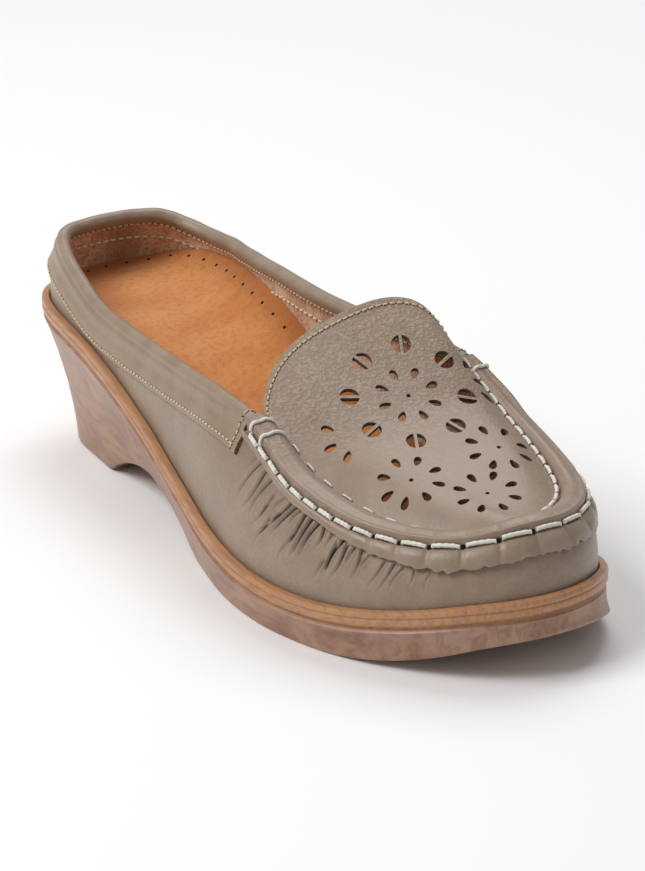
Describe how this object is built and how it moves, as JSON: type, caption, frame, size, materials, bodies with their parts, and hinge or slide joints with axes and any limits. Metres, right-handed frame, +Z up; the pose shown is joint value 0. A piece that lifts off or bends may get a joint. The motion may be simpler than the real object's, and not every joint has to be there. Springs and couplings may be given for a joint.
{
  "type": "moccasin clog",
  "caption": "Slip-on leather moccasin clog with perforated apron, low closed heel rim, cushioned footbed and moulded wedge-heel sole, right foot.",
  "frame": {"origin": "centre of the bounding box at floor level, under the sole", "axes": "-Y towards the toe, +Y towards the heel, -X towards the lateral side, +Z up from the floor"},
  "size_m": [0.0877, 0.236, 0.0719],
  "materials": {
    "outsole": "satin",
    "insole": "nubuck",
    "upper": "satin",
    "heel_band": "satin",
    "apron": "satin"
  },
  "bodies": {
    "root": {"outsole": "outsole", "insole": "insole", "upper": "upper", "heel_band": "heel_band", "apron": "apron"}
  },
  "joints": []
}
